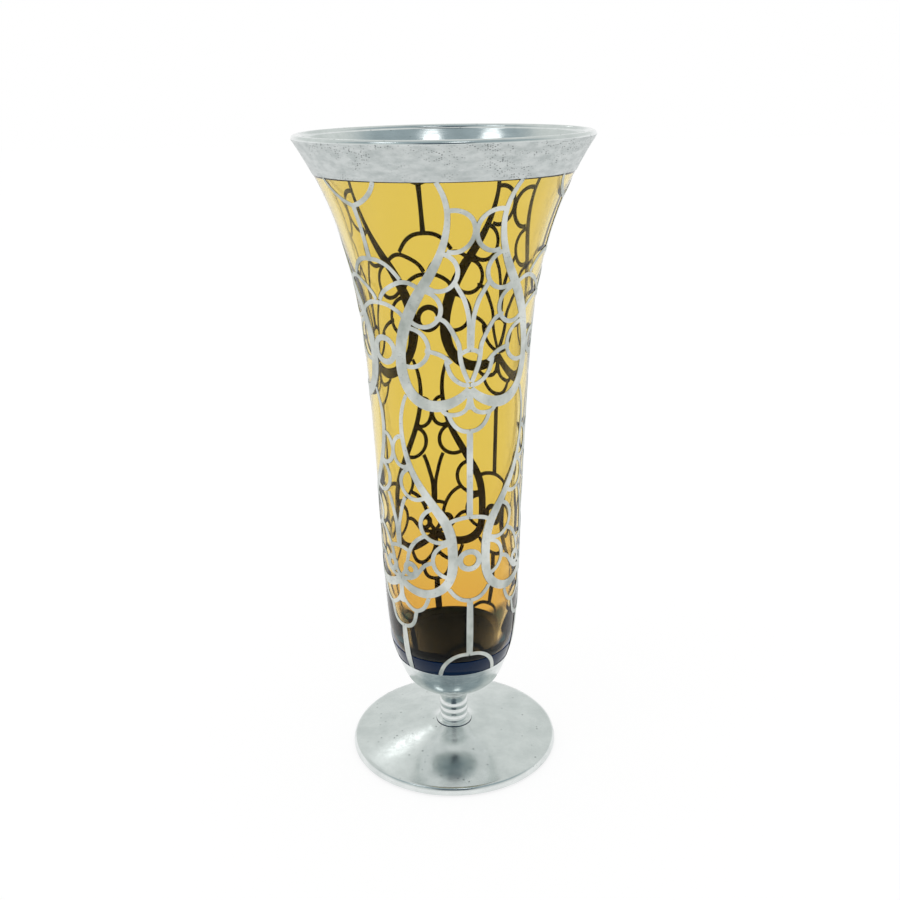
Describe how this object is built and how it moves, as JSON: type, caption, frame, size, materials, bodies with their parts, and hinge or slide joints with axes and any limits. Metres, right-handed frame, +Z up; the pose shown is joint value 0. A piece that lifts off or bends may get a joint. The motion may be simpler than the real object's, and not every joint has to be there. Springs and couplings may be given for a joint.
{
  "type": "trumpet vase",
  "caption": "Footed trumpet vase of amber glass with a navy glass base, under a silver overlay: wide rim band, pierced looping lattice and a sheathed foot.",
  "frame": {"origin": "centre of the foot's flat resting ring, on the surface the vase stands on", "axes": "+Z up along the vase's axis of turning; the pictured side faces -Y"},
  "size_m": [0.1084, 0.1084, 0.25],
  "materials": {
    "amber_glass": "blown clear amber",
    "navy_glass": "dense cobalt, polished by fire",
    "satin_silver": "deposited silver, satin with fine scratches",
    "polished_silver": "deposited silver, polished"
  },
  "bodies": {
    "root": {"amber_bowl": "amber_glass", "navy_base": "navy_glass", "glass_foot": "navy_glass", "rim_band": "satin_silver", "silver_lattice": "satin_silver", "foot_sheath": "polished_silver"}
  },
  "joints": []
}
